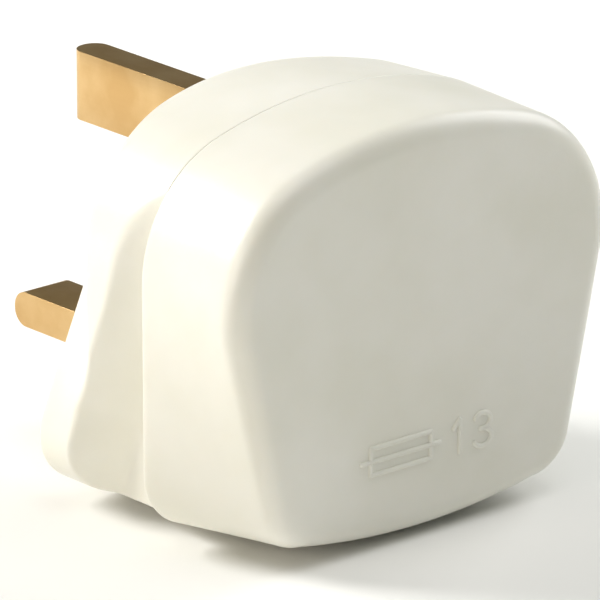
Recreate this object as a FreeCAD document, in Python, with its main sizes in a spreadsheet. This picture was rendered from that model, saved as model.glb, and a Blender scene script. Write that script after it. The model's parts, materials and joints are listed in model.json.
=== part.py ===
"""A fused three pin mains plug in the UK pattern, to be wired by its user.

X runs to the right as the cover is seen, +Z is up with the earth pin on top, and the pins point along +Y.
The origin lies on the pin face, midway between the live and neutral pins. Depth means the distance from
that face into the body, so it runs along -Y. All lengths are millimetres.
"""
import FreeCAD, Part
import math
import os
import Sketcher

doc = FreeCAD.newDocument("three_pin_plug")
sheet = doc.addObject("Spreadsheet::Sheet", "Sizes")

# Driving dimensions
SIZES = {
    "body_depth": 35.0,          # pin face to cover face
    "seam_depth": 19.5,          # pin face to the joint of base and cover
    "flare_depth": 9.0,          # pin face to where the body has nearly its full size
    "crown_fullness": 2.0,       # how round the flare is on top, 1 for a straight one
    "wall": 2.0,
    "floor_thickness": 3.0,
    "face_edge_radius": 2.0,
    "rim_edge": 0.4,             # bevel round the pin face
    "bottom": -16.0,             # lowest line of the body
    "bottom_radius": 90.0,       # the underside is slightly round
    # The bell shaped outline of the pin face
    "rim_over_earth": 1.2,       # pin face above the top of the earth pin
    "rim_top_radius": 21.5,
    "rim_half_width": 15.5,
    "rim_shoulder_radius": 13.0,
    "rim_low_half_width": 25.6,
    "rim_corner_radius": 6.0,
    "rim_lift": 0.0,             # underside above the lowest line
    # The outline where the flare of the base ends
    "flare_rise": 3.6,           # top of the outline above the top of the pin face
    "flare_top_radius": 54.8,
    "flare_half_width": 25.8,
    "flare_shoulder_radius": 13.8,
    "flare_low_half_width": 25.8,
    "flare_corner_radius": 6.0,
    "flare_lift": 0.0,
    # The outline at the seam, the widest of all
    "seam_rise": 4.1,
    "seam_top_radius": 56.0,
    "seam_half_width": 27.0,
    "seam_shoulder_radius": 15.0,
    "seam_low_half_width": 27.0,
    "seam_corner_radius": 7.0,
    "seam_lift": 0.0,
    # The outline of the cover face, whose lower sides lean in
    "face_rise": 3.5,
    "face_top_radius": 56.0,
    "face_half_width": 27.0,
    "face_shoulder_radius": 15.0,
    "face_low_half_width": 22.2,
    "face_corner_radius": 6.0,
    "face_lift": 0.8,
    # The finger grips sunk in both sides of the base
    "grip_floor": 20.6,          # half of what is left between the two grips
    "grip_lean": 30.0,           # degrees, how far the grip's long edge leans from upright
    "grip_low_depth": 5.4,       # depth of that edge at the underside, on the grip's floor
    "grip_draft": 52.0,          # degrees, slope of the grip
    "grip_hollow_radius": 3.5,
    # The room inside both mouldings, straight along the pins
    "well_top_radius": 40.0,
    "well_shoulder_radius": 5.0,
    "well_corner_radius": 4.5,
    # Pins
    "pin_spread": 22.2,          # live to neutral, centre to centre
    "earth_height": 22.23,       # earth pin centre above the line of the other two
    "line_pin_width": 6.35,
    "line_pin_height": 4.0,
    "line_pin_length": 17.7,
    "earth_pin_width": 4.0,
    "earth_pin_height": 8.0,
    "earth_pin_length": 22.7,
    "pin_nose_radius": 1.9,
    "pin_fit": 0.1,              # play of a pin in its slot, each side
    # Terminals
    "shoulder_overlap": 1.2,     # what a pin's inner block overlaps the floor on each side
    "terminal_top": 12.5,        # depth of the free end of a terminal block
    "wire_hole_radius": 1.6,
    "wire_hole_depth": 7.0,
    "terminal_screw_radius": 1.5,
    "terminal_screw_head_radius": 2.3,
    "terminal_screw_head_height": 1.6,
    "thread_fit": 0.05,
    # Fuse and what carries it
    "fuse_length": 25.4,
    "fuse_cap_radius": 3.175,
    "fuse_cap_length": 5.8,
    "fuse_cap_wall": 0.3,
    "fuse_bore_radius": 1.9,
    "fuse_wire_radius": 0.25,
    "fuse_side": 14.0,           # fuse axis to the right of the middle
    "fuse_depth": 10.6,          # fuse axis below the pin face
    "clip_sheet": 0.6,
    "clip_length": 4.6,
    "clip_mouth": 4.4,
    "clip_fit": 0.05,
    "clip_lift": 0.1,            # bottom of the bend above the underside of its foot
    "rivet_radius": 1.1,
    "tail_width": 6.4,           # the live terminal's tail under the upper clip
    "tail_thickness": 1.1,
    "live_block_side": 4.8,      # inner side of the live terminal's block
    "live_block_width": 4.8,
    # Cover screw
    "screw_height": 10.0,
    "screw_radius": 1.75,
    "screw_head_radius": 3.1,
    "screw_head_height": 2.2,
    "screw_head_sink": 1.0,      # head below the pin face
    "screw_grip_length": 7.0,    # thread that enters the cover
    "screw_fit": 0.2,
    "screw_post_radius": 4.4,
    "slot_width": 0.9,
    "slot_depth": 0.9,
    "washer_thickness": 0.8,
    "washer_radius": 3.0,
    "insert_radius": 2.6,
    "insert_length": 8.0,
    # Cord entry and grip
    "entry_radius": 4.1,
    "entry_depth": 10.0,
    "grip_post_side": 8.8,
    "grip_post_height": -8.7,
    "grip_post_radius": 2.9,
    "grip_post_top": 12.6,
    "bar_thickness": 2.6,
    "bar_height": 6.4,
    "bar_ridge": 0.9,
    "seat_fit": 0.05,
    # Ribs that keep the earth wire apart from the live and neutral terminals
    "rib_side": 5.6,
    "rib_thickness": 1.2,
    "rib_top": 12.0,
    "rib_low": -3.8,
    "rib_high": 4.6,
}
for row, (name, number) in enumerate(SIZES.items(), start=1):
    sheet.set(f"A{row}", name)
    sheet.set(f"B{row}", str(number))
    sheet.setAlias(f"B{row}", name)
doc.recompute()


class Term:
    """A length as a number and as the expression that gives it from the sheet."""

    def __init__(self, number, text):
        self.number = number
        self.text = text

    def __add__(self, other):
        other = as_term(other)
        return Term(self.number + other.number, f"({self.text} + {other.text})")

    def __sub__(self, other):
        other = as_term(other)
        return Term(self.number - other.number, f"({self.text} - {other.text})")

    def __mul__(self, other):
        other = as_term(other)
        return Term(self.number * other.number, f"({self.text} * {other.text})")

    def __truediv__(self, other):
        other = as_term(other)
        return Term(self.number / other.number, f"({self.text} / {other.text})")

    def __neg__(self):
        return Term(-self.number, f"(-1 * {self.text})")


def as_term(value):
    """A plain number as a term of its own."""
    if isinstance(value, Term):
        return value
    return Term(float(value), f"({value})")


def size(name):
    """The named cell of the sheet."""
    return Term(SIZES[name], f"Sizes.{name}")


def bind(thing, path, value):
    """Tie one property of an object to its expression."""
    thing.setExpression(path, as_term(value).text)


def place(thing, x, depth, z):
    """Tie an object's origin to a point given by x, depth and z."""
    bind(thing, "Placement.Base.x", x)
    bind(thing, "Placement.Base.y", -as_term(depth))
    bind(thing, "Placement.Base.z", z)


# Plain solids

def block(name, x, depth, z):
    """A box between two values along each of x, depth and z."""
    solid = doc.addObject("Part::Box", name)
    bind(solid, "Length", as_term(x[1]) - x[0])
    bind(solid, "Width", as_term(depth[1]) - depth[0])
    bind(solid, "Height", as_term(z[1]) - z[0])
    place(solid, x[0], depth[1], z[0])
    return solid


def rod(name, radius, x, z, depth):
    """A cylinder that runs into the body, between two depths."""
    solid = doc.addObject("Part::Cylinder", name)
    solid.Placement.Rotation = FreeCAD.Rotation(FreeCAD.Vector(1, 0, 0), 90)
    bind(solid, "Radius", radius)
    bind(solid, "Height", as_term(depth[1]) - depth[0])
    place(solid, x, depth[0], z)
    return solid


def upright(name, radius, x, depth, z):
    """A cylinder that runs up the body, between two heights."""
    solid = doc.addObject("Part::Cylinder", name)
    bind(solid, "Radius", radius)
    bind(solid, "Height", as_term(z[1]) - z[0])
    place(solid, x, depth, z[0])
    return solid


def fuse(name, solids):
    """One solid of several."""
    joined = doc.addObject("Part::MultiFuse", name)
    joined.Shapes = solids
    joined.Refine = True
    return joined


def cut(name, base, tools):
    """A solid less one or several others."""
    tool = tools[0] if len(tools) == 1 else fuse(name + "_tools", tools)
    rest = doc.addObject("Part::Cut", name)
    rest.Base = base
    rest.Tool = tool
    return rest


# Outlines across the body

def outline_top(stage):
    """The top of an outline, which keeps its distance above the earth pin."""
    rim_top = size("earth_height") + size("earth_pin_height") / 2 + size("rim_over_earth")
    return rim_top if stage == "rim" else rim_top + size(f"{stage}_rise")


def outline_sizes(stage, inset=0.0):
    """The eight sizes of one of the body's outlines, moved inwards by a wall."""
    return {
        "top": outline_top(stage) - inset,
        "top_radius": size(f"{stage}_top_radius") - inset,
        "half_width": size(f"{stage}_half_width") - inset,
        "shoulder_radius": size(f"{stage}_shoulder_radius") - inset,
        "low_half_width": size(f"{stage}_low_half_width") - inset,
        "corner_radius": size(f"{stage}_corner_radius") - inset,
        "bottom": size("bottom") + size(f"{stage}_lift") + inset,
        "bottom_radius": size("bottom_radius") - inset,
    }


def plane_of(body, role):
    """One of a body's own origin planes."""
    return next(plane for plane in body.Origin.OriginFeatures if plane.Role == role)


def outline(body, name, depth, sizes):
    """A closed outline of arcs and two straight sides, each tangent to the next, in a plane at one depth."""
    value = {key: term.number for key, term in sizes.items()}
    top_centre = value["top"] - value["top_radius"]
    bottom_centre = value["bottom"] + value["bottom_radius"]
    shoulder_x = value["half_width"] - value["shoulder_radius"]
    shoulder_reach = value["top_radius"] - value["shoulder_radius"]
    shoulder_z = top_centre + math.sqrt(shoulder_reach ** 2 - shoulder_x ** 2)
    corner_x = value["low_half_width"] - value["corner_radius"]
    corner_reach = value["bottom_radius"] - value["corner_radius"]
    corner_z = bottom_centre - math.sqrt(corner_reach ** 2 - corner_x ** 2)
    top_angle = math.atan2(shoulder_z - top_centre, shoulder_x)
    bottom_angle = math.atan2(corner_z - bottom_centre, corner_x)
    run_x = corner_x - shoulder_x
    run_z = corner_z - shoulder_z
    run = math.hypot(run_x, run_z)
    narrowing = value["shoulder_radius"] - value["corner_radius"]
    side_angle = math.atan2(run_z, run_x) + math.acos(narrowing / run)

    def arc(x, z, radius, start, end):
        circle = Part.Circle(FreeCAD.Vector(x, z, 0), FreeCAD.Vector(0, 0, 1), radius)
        return Part.ArcOfCircle(circle, start, end)

    def on_circle(x, z, radius, angle):
        return FreeCAD.Vector(x + radius * math.cos(angle), z + radius * math.sin(angle), 0)

    right_top = on_circle(shoulder_x, shoulder_z, value["shoulder_radius"], side_angle)
    right_low = on_circle(corner_x, corner_z, value["corner_radius"], side_angle)
    left_top = FreeCAD.Vector(-right_top.x, right_top.y, 0)
    left_low = FreeCAD.Vector(-right_low.x, right_low.y, 0)
    half_turn = math.pi

    sketch = body.newObject("Sketcher::SketchObject", name)
    sketch.AttachmentSupport = [(plane_of(body, "XZ_Plane"), "")]
    sketch.MapMode = "FlatFace"
    bind(sketch, "AttachmentOffset.Base.z", depth)
    top, left_shoulder, left_corner, bottom, right_corner, right_shoulder = 0, 1, 3, 4, 5, 7
    sketch.addGeometry([
        arc(0, top_centre, value["top_radius"], top_angle, half_turn - top_angle),
        arc(-shoulder_x, shoulder_z, value["shoulder_radius"], half_turn - top_angle, half_turn - side_angle),
        Part.LineSegment(left_top, left_low),
        arc(-corner_x, corner_z, value["corner_radius"], half_turn - side_angle, half_turn - bottom_angle),
        arc(0, bottom_centre, value["bottom_radius"], half_turn - bottom_angle, 2 * half_turn + bottom_angle),
        arc(corner_x, corner_z, value["corner_radius"], bottom_angle, side_angle),
        Part.LineSegment(right_low, right_top),
        arc(shoulder_x, shoulder_z, value["shoulder_radius"], side_angle, top_angle),
    ], False)
    start, end, centre = 1, 2, 3
    for first in range(8):
        sketch.addConstraint(Sketcher.Constraint("Tangent", first, end, (first + 1) % 8, start))
    origin = (-1, start)
    for arc_index in (top, bottom):
        sketch.addConstraint(Sketcher.Constraint("PointOnObject", arc_index, centre, -2))
    for left, right in ((left_shoulder, right_shoulder), (left_corner, right_corner)):
        sketch.addConstraint(Sketcher.Constraint("Equal", left, right))
        sketch.addConstraint(Sketcher.Constraint("Horizontal", left, centre, right, centre))

    def dimension(kind, *where_and_value):
        *where, term = where_and_value
        index = sketch.addConstraint(Sketcher.Constraint(kind, *where, term.number))
        bind(sketch, f"Constraints[{index}]", term)

    dimension("Radius", top, sizes["top_radius"])
    dimension("Radius", right_shoulder, sizes["shoulder_radius"])
    dimension("Radius", right_corner, sizes["corner_radius"])
    dimension("Radius", bottom, sizes["bottom_radius"])
    dimension("DistanceY", *origin, top, centre, sizes["top"] - sizes["top_radius"])
    dimension("DistanceY", *origin, bottom, centre, sizes["bottom"] + sizes["bottom_radius"])
    dimension("DistanceX", *origin, right_shoulder, centre, sizes["half_width"] - sizes["shoulder_radius"])
    dimension("DistanceX", *origin, right_corner, centre, sizes["low_half_width"] - sizes["corner_radius"])
    return sketch


def between(first, second, share, top_share=None):
    """An outline part of the way from one to another, whose top may be further on than the rest."""
    sizes = {key: first[key] * (1 - share) + second[key] * share for key in first}
    if top_share is not None:
        sizes["top"] = first["top"] * (1 - top_share) + second["top"] * top_share
    return sizes


def loft(body, name, outlines):
    """A loft of the body through outlines in order, straight from each to the next."""
    feature = body.newObject("PartDesign::AdditiveLoft", name)
    feature.Profile = outlines[0]
    feature.Sections = outlines[1:]
    feature.Ruled = True


wall = size("wall")
floor_depth = size("floor_thickness")
seam = size("seam_depth")
face = size("body_depth")
flare = size("flare_depth")
line_x = size("pin_spread") / 2
earth_z = size("earth_height")
screw_z = size("screw_height")
fuse_x = size("fuse_side")
fuse_axis = size("fuse_depth")
clip_outer = size("fuse_cap_radius") + size("clip_fit") + size("clip_sheet")
clip_foot = fuse_axis - clip_outer - size("clip_lift")
tail_foot = clip_foot - size("tail_thickness")
fuse_low = -(size("fuse_cap_length") / 2)
fuse_high = fuse_low + size("fuse_length")
upper_clip_z = fuse_high - size("fuse_cap_length") / 2
clip_half = size("clip_length") / 2
tail_half = size("tail_width") / 2
tail_end = fuse_x + tail_half
live_block = (size("live_block_side"), size("live_block_side") + size("live_block_width"))


# Base moulding: the flared shell, with its floor at the pin face

FLARE_STEPS = 8
SIDE_STEPS = 2
rim_sizes = outline_sizes("rim")
flare_sizes = outline_sizes("flare")
seam_sizes = outline_sizes("seam")
rim_edge = size("rim_edge")
base_form = doc.addObject("PartDesign::Body", "base_form")
base_outlines = [outline(base_form, "pin_face_outline", as_term(0), outline_sizes("rim", rim_edge))]
for step in range(FLARE_STEPS):
    part_way = step / FLARE_STEPS
    crown = 1 - (1 - part_way) ** SIZES["crown_fullness"]
    base_outlines.append(outline(base_form, f"flare_outline_{step}", rim_edge + (flare - rim_edge) * part_way,
                                 between(rim_sizes, flare_sizes, part_way, crown)))
for step in range(SIDE_STEPS + 1):
    part_way = step / SIDE_STEPS
    base_outlines.append(outline(base_form, f"side_outline_{step}", flare + (seam - flare) * part_way,
                                 between(flare_sizes, seam_sizes, part_way)))
loft(base_form, "base_outer", base_outlines)


def hollow_out(body, name, start, end, top, shoulder):
    """Cut room inside a moulding between two depths, its sides straight along the pins."""
    low_half_width = size("grip_floor") - wall
    room = outline(body, name + "_outline", end, {
        "top": top,
        "top_radius": shoulder["top_radius"],
        "half_width": shoulder["half_width"],
        "shoulder_radius": shoulder["radius"],
        "low_half_width": low_half_width,
        "corner_radius": size("well_corner_radius"),
        "bottom": size("bottom") + wall,
        "bottom_radius": size("bottom_radius") - wall,
    })
    well = body.newObject("PartDesign::Pocket", name)
    well.Profile = room
    bind(well, "Length", end - start)


# The room has full width from the live terminal's seat on, and follows the bell below it
thin = wall * 0.3
bell = {"top_radius": size("rim_top_radius") - thin, "half_width": size("rim_half_width") - thin,
        "radius": size("rim_shoulder_radius") - thin}
full = {"top_radius": size("well_top_radius"), "half_width": size("grip_floor") - wall,
        "radius": size("well_shoulder_radius")}
full_top = outline_top("seam") - wall * 2
hollow_out(base_form, "base_well", tail_foot, seam, full_top, full)
hollow_out(base_form, "bell_well", floor_depth, tail_foot, outline_top("rim") - thin, bell)


# Finger grips: slopes that sink towards the cover and run out at the underside

def grip_tool():
    """What is cut from the right side of the base for a finger grip.

    The slope, its rounded foot and the grip's floor are drawn across the foot's line and padded along it.
    That line leans from upright towards the cover, so the body of the pad is turned by the same angle.
    """
    body = doc.addObject("PartDesign::Body", "grip_form")
    sketch = body.newObject("Sketcher::SketchObject", "grip_profile")
    sketch.AttachmentSupport = [(plane_of(body, "XY_Plane"), "")]
    sketch.MapMode = "FlatFace"
    draft = math.radians(SIZES["grip_draft"])
    grip_floor, radius = size("grip_floor"), size("grip_hollow_radius")
    outer = size("seam_half_width") + wall
    rise = (outer - grip_floor) * Term(math.tan(draft), "tan(Sizes.grip_draft * 1 deg)")
    far = -(seam * 2)
    foot = FreeCAD.Vector(grip_floor.number, 0, 0)
    slope = FreeCAD.Vector(math.cos(draft), math.sin(draft), 0)
    tangent_run = radius.number / math.tan((math.pi / 2 + draft) / 2)
    centre = foot + FreeCAD.Vector(radius.number, -tangent_run, 0)
    circle = Part.Circle(centre, FreeCAD.Vector(0, 0, 1), radius.number)
    arc = Part.ArcOfCircle(circle, math.pi / 2 + draft, math.pi)
    top = FreeCAD.Vector(outer.number, rise.number, 0)
    far_outer = FreeCAD.Vector(outer.number, far.number, 0)
    far_floor = FreeCAD.Vector(grip_floor.number, far.number, 0)
    slope_line, outer_line, far_line, floor_line, foot_arc, foot_point = range(6)
    sketch.addGeometry([
        Part.LineSegment(foot + slope * tangent_run, top),
        Part.LineSegment(top, far_outer),
        Part.LineSegment(far_outer, far_floor),
        Part.LineSegment(far_floor, foot + FreeCAD.Vector(0, -tangent_run, 0)),
        arc,
    ], False)
    sketch.addGeometry(Part.Point(foot), True)
    start, end = 1, 2
    for first in (slope_line, outer_line, far_line):
        sketch.addConstraint(Sketcher.Constraint("Coincident", first, end, first + 1, start))
    sketch.addConstraint(Sketcher.Constraint("Tangent", floor_line, end, foot_arc, end))
    sketch.addConstraint(Sketcher.Constraint("Tangent", foot_arc, start, slope_line, start))
    for index in (outer_line, floor_line):
        sketch.addConstraint(Sketcher.Constraint("Vertical", index))
    for index in (slope_line, floor_line):
        sketch.addConstraint(Sketcher.Constraint("PointOnObject", foot_point, start, index))
    sketch.addConstraint(Sketcher.Constraint("Horizontal", far_line))
    sketch.addConstraint(Sketcher.Constraint("PointOnObject", foot_point, start, -1))
    radius_index = sketch.addConstraint(Sketcher.Constraint("Radius", foot_arc, radius.number))
    bind(sketch, f"Constraints[{radius_index}]", radius)
    for kind, edge, term in (
        ("DistanceX", floor_line, grip_floor), ("DistanceX", outer_line, outer),
        ("DistanceY", outer_line, rise), ("DistanceY", far_line, far),
    ):
        index = sketch.addConstraint(Sketcher.Constraint(kind, -1, start, edge, start, term.number))
        bind(sketch, f"Constraints[{index}]", term)
    pad = body.newObject("PartDesign::Pad", "grip_pad")
    pad.Profile = sketch
    pad.Midplane = True
    bind(pad, "Length", seam * 8)
    body.Placement.Rotation = FreeCAD.Rotation(FreeCAD.Vector(1, 0, 0), SIZES["grip_lean"])
    bind(body, "Placement.Rotation.Angle", Term(SIZES["grip_lean"], "Sizes.grip_lean * 1 deg"))
    place(body, as_term(0), size("grip_low_depth"), size("bottom"))
    return body


right_grip = grip_tool()
left_grip = doc.addObject("Part::Mirroring", "left_grip")
left_grip.Source = right_grip
left_grip.Normal = FreeCAD.Vector(1, 0, 0)


def rib(name, x):
    """An upright rib on the floor of the base."""
    return block(name, (x, x + size("rib_thickness")), (floor_depth / 2, size("rib_top")),
                 (size("rib_low"), size("rib_high")))


base_solid = fuse("base_solid", [
    base_form,
    rod("screw_post", size("screw_post_radius"), as_term(0), screw_z, (floor_depth / 2, seam)),
    rod("left_grip_post", size("grip_post_radius"), -size("grip_post_side"), size("grip_post_height"),
        (floor_depth / 2, size("grip_post_top"))),
    rod("right_grip_post", size("grip_post_radius"), size("grip_post_side"), size("grip_post_height"),
        (floor_depth / 2, size("grip_post_top"))),
    rib("left_rib", -size("rib_side") - size("rib_thickness")),
    rib("right_rib", size("rib_side")),
    block("fuse_pedestal", (live_block[0] - wall / 2, fuse_x + tail_half / 2), (floor_depth * 0.9, tail_foot),
          (upper_clip_z - tail_half - wall / 2, upper_clip_z + tail_half)),
])


def slot(name, x, z, width, height):
    """The slot in the floor that a pin goes through."""
    half_width = width / 2 + size("pin_fit")
    half_height = height / 2 + size("pin_fit")
    return block(name, (x - half_width, x + half_width), (as_term(-1), floor_depth),
                 (z - half_height, z + half_height))


head_foot = size("screw_head_sink") + size("screw_head_height")
base = cut("base", base_solid, [
    right_grip,
    left_grip,
    slot("earth_slot", as_term(0), earth_z, size("earth_pin_width"), size("earth_pin_height")),
    slot("live_slot", line_x, as_term(0), size("line_pin_width"), size("line_pin_height")),
    slot("neutral_slot", -line_x, as_term(0), size("line_pin_width"), size("line_pin_height")),
    rod("head_recess", size("screw_head_radius") + size("screw_fit"), as_term(0), screw_z,
        (as_term(-1), head_foot)),
    rod("screw_way", size("screw_radius") + size("screw_fit"), as_term(0), screw_z, (as_term(0), seam)),
    rod("washer_seat", size("washer_radius") + size("seat_fit"), as_term(0), screw_z,
        (seam - size("washer_thickness"), seam)),
    block("tail_seat", (live_block[0] - size("seat_fit"), tail_end + size("seat_fit")),
          (tail_foot, clip_foot + size("clip_sheet") + size("seat_fit")),
          (upper_clip_z - tail_half - size("seat_fit"), upper_clip_z + tail_half + size("seat_fit"))),
    upright("cord_entry", size("entry_radius"), as_term(0), size("entry_depth"),
            (size("bottom") - wall, size("bottom") + wall * 2)),
    rod("left_bar_thread", size("terminal_screw_radius") + size("thread_fit"), -size("grip_post_side"),
        size("grip_post_height"), (floor_depth + wall, size("grip_post_top"))),
    rod("right_bar_thread", size("terminal_screw_radius") + size("thread_fit"), size("grip_post_side"),
        size("grip_post_height"), (floor_depth + wall, size("grip_post_top"))),
])


# Cover moulding: the deep shell with the smooth face

cover_form = doc.addObject("PartDesign::Body", "cover_form")
COVER_STEPS = 4
ROUND_STEPS = 3
face_sizes = outline_sizes("face")
edge_radius = size("face_edge_radius")
round_start = face - edge_radius
cover_outlines = [
    outline(cover_form, f"cover_outline_{step}", seam + (round_start - seam) * (step / COVER_STEPS),
            between(seam_sizes, face_sizes, step / COVER_STEPS))
    for step in range(COVER_STEPS)
]
for step in range(ROUND_STEPS + 1):
    angle = math.pi / 2 * step / ROUND_STEPS
    depth = round_start + edge_radius * math.sin(angle)
    inset = edge_radius * (1 - math.cos(angle))
    cover_outlines.append(outline(cover_form, f"face_outline_{step}", depth, outline_sizes("face", inset)))
loft(cover_form, "cover_outer", cover_outlines)
hollow_out(cover_form, "cover_well", seam, face - wall, full_top, full)
cover_solid = fuse("cover_solid", [
    cover_form,
    rod("cover_post", size("screw_post_radius"), as_term(0), screw_z, (seam, face - wall / 2)),
])
cover = cut("cover", cover_solid, [
    rod("insert_seat", size("insert_radius") + size("seat_fit"), as_term(0), screw_z,
        (seam, seam + size("insert_length"))),
])


# Screws, with a slot across the head

def screw(name, x, z, radius, head_radius, head, end):
    """A slotted screw whose head spans two depths and whose shank runs on to its end."""
    # The shank leaves the head on the side of its end
    shank = (head[1], end) if end.number > head[1].number else (end, head[0])
    outer = head[0] if end.number > head[1].number else head[1] - size("slot_depth")
    body = fuse(name + "_turned", [
        rod(name + "_head", head_radius, x, z, head),
        rod(name + "_shank", radius, x, z, shank),
    ])
    half = size("slot_width") / 2
    return cut(name, body, [
        block(name + "_slot", (x - half, x + half), (outer, outer + size("slot_depth")),
              (z - head_radius, z + head_radius)),
    ])


cover_screw = screw("cover_screw", as_term(0), screw_z, size("screw_radius"), size("screw_head_radius"),
                    (size("screw_head_sink"), head_foot), seam + size("screw_grip_length"))


def ring(name, outer, inner, x, z, depth):
    """A flat ring or tube that runs into the body."""
    return cut(name, rod(name + "_blank", outer, x, z, depth),
               [rod(name + "_hole", inner, x, z, depth)])


screw_washer = ring("screw_washer", size("washer_radius"), size("screw_radius") + size("seat_fit"),
                    as_term(0), screw_z, (seam - size("washer_thickness"), seam))
cover_insert = ring("cover_insert", size("insert_radius"), size("screw_radius") + size("thread_fit"),
                    as_term(0), screw_z, (seam, seam + size("insert_length")))


# Pins

def pin_blade(name, x, z, width, height, length):
    """The blade of a pin, from its nose, round across the thin way, to the inner side of the floor."""
    bar = block(name + "_bar", (x - width / 2, x + width / 2), (-length, floor_depth),
                (z - height / 2, z + height / 2))
    doc.recompute()
    upright_pin = height.number > width.number
    nose = doc.addObject("Part::Fillet", name + "_blade")
    nose.Base = bar
    radius = SIZES["pin_nose_radius"]
    nose.Edges = [
        (number, radius, radius) for number, edge in enumerate(bar.Shape.Edges, start=1)
        if edge.BoundBox.YMin > length.number - 0.01
        and (edge.BoundBox.ZLength > edge.BoundBox.XLength) == upright_pin
    ]
    return nose


def pillar_pin(name, x, z, width, height, length):
    """A pin with its terminal block in one piece: a hole for the wire and a threaded one for its screw."""
    overlap = size("shoulder_overlap")
    half_block = height / 2 + overlap if width.number > height.number else height / 2
    half_width = width / 2 if width.number > height.number else width / 2 + overlap
    solid = fuse(name + "_solid", [
        pin_blade(name, x, z, width, height, length),
        block(name + "_block", (x - half_width, x + half_width), (floor_depth, size("terminal_top")),
              (z - half_block, z + half_block)),
    ])
    return cut(name, solid, [
        upright(name + "_wire_hole", size("wire_hole_radius"), x, size("wire_hole_depth"),
                (z - half_block, z + half_block)),
        rod(name + "_thread", size("terminal_screw_radius") + size("thread_fit"), x, z,
            (size("wire_hole_depth"), size("terminal_top"))),
    ])


def terminal_screw(name, x, z):
    """A terminal screw with its head just clear of the block."""
    head = (size("terminal_top") + size("thread_fit"),
            size("terminal_top") + size("thread_fit") + size("terminal_screw_head_height"))
    return screw(name, x, z, size("terminal_screw_radius"), size("terminal_screw_head_radius"), head,
                 size("wire_hole_depth"))


earth_pin = pillar_pin("earth_pin", as_term(0), earth_z, size("earth_pin_width"), size("earth_pin_height"),
                       size("earth_pin_length"))
earth_terminal_screw = terminal_screw("earth_terminal_screw", as_term(0), earth_z)
neutral_pin = pillar_pin("neutral_pin", -line_x, as_term(0), size("line_pin_width"), size("line_pin_height"),
                         size("line_pin_length"))
neutral_terminal_screw = terminal_screw("neutral_terminal_screw", -line_x, as_term(0))

live_half_width = size("line_pin_width") / 2
live_half_height = size("line_pin_height") / 2 + size("shoulder_overlap")
live_pin = fuse("live_pin", [
    pin_blade("live_pin", line_x, as_term(0), size("line_pin_width"), size("line_pin_height"),
              size("line_pin_length")),
    block("live_pin_block", (line_x - live_half_width, line_x + live_half_width), (floor_depth, clip_foot),
          (-live_half_height, live_half_height)),
    rod("live_pin_spigot", size("rivet_radius"), line_x - size("rivet_radius"), as_term(0),
        (floor_depth, clip_foot + size("clip_sheet"))),
])


# Fuse clips: bent sheet that holds the fuse by its caps, with a foot plate

def clip(name, z, foot_x, rivet_x):
    """A spring clip round the fuse at one height, open towards the cover, on a flat foot."""
    half_mouth = size("clip_mouth") / 2
    along = (z - clip_half, z + clip_half)
    jaws = fuse(name + "_jaws", [
        upright(name + "_bend", clip_outer, fuse_x, fuse_axis, along),
        block(name + "_foot", foot_x, (clip_foot, clip_foot + size("clip_sheet")), along),
    ])
    return cut(name, jaws, [
        upright(name + "_bore", clip_outer - size("clip_sheet"), fuse_x, fuse_axis, along),
        block(name + "_mouth", (fuse_x - half_mouth, fuse_x + half_mouth),
              (fuse_axis, fuse_axis + clip_outer), along),
        rod(name + "_rivet_hole", size("rivet_radius"), rivet_x, z,
            (clip_foot, clip_foot + size("clip_sheet"))),
    ])


live_pin_clip = clip("live_pin_clip", as_term(0), (line_x - live_half_width, fuse_x),
                     line_x - size("rivet_radius"))


# Live terminal: a block for the wire, with a tail under the upper clip

terminal_x = live_block[1] - size("live_block_width") / 2
tail_z = (upper_clip_z - tail_half, upper_clip_z + tail_half)
live_terminal = cut("live_terminal", fuse("live_terminal_solid", [
    block("live_terminal_block", live_block, (tail_foot, size("terminal_top")), tail_z),
    block("live_terminal_tail", (live_block[0], tail_end), (tail_foot, clip_foot), tail_z),
]), [
    upright("live_terminal_wire_hole", size("wire_hole_radius"), terminal_x,
            size("wire_hole_depth") + size("tail_thickness"), tail_z),
    rod("live_terminal_thread", size("terminal_screw_radius") + size("thread_fit"), terminal_x, upper_clip_z,
        (size("wire_hole_depth"), size("terminal_top"))),
    rod("live_terminal_rivet_hole", size("rivet_radius"), fuse_x, upper_clip_z, (tail_foot, clip_foot)),
])
live_terminal_screw = terminal_screw("live_terminal_screw", terminal_x, upper_clip_z)
live_terminal_clip = clip("live_terminal_clip", upper_clip_z, (fuse_x - tail_half, fuse_x + tail_half),
                          fuse_x)
clip_rivet = rod("clip_rivet", size("rivet_radius"), fuse_x, upper_clip_z,
                 (tail_foot, clip_foot + size("clip_sheet")))


# Cartridge fuse

def fuse_cap(name, z, closed_low):
    """A drawn brass cap with its closed end at the end of the fuse."""
    inner = (z[0] + size("fuse_cap_wall"), z[1]) if closed_low else (z[0], z[1] - size("fuse_cap_wall"))
    return cut(name, upright(name + "_blank", size("fuse_cap_radius"), fuse_x, fuse_axis, z),
               [upright(name + "_hollow", size("fuse_cap_radius") - size("fuse_cap_wall"), fuse_x, fuse_axis,
                        inner)])


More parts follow.
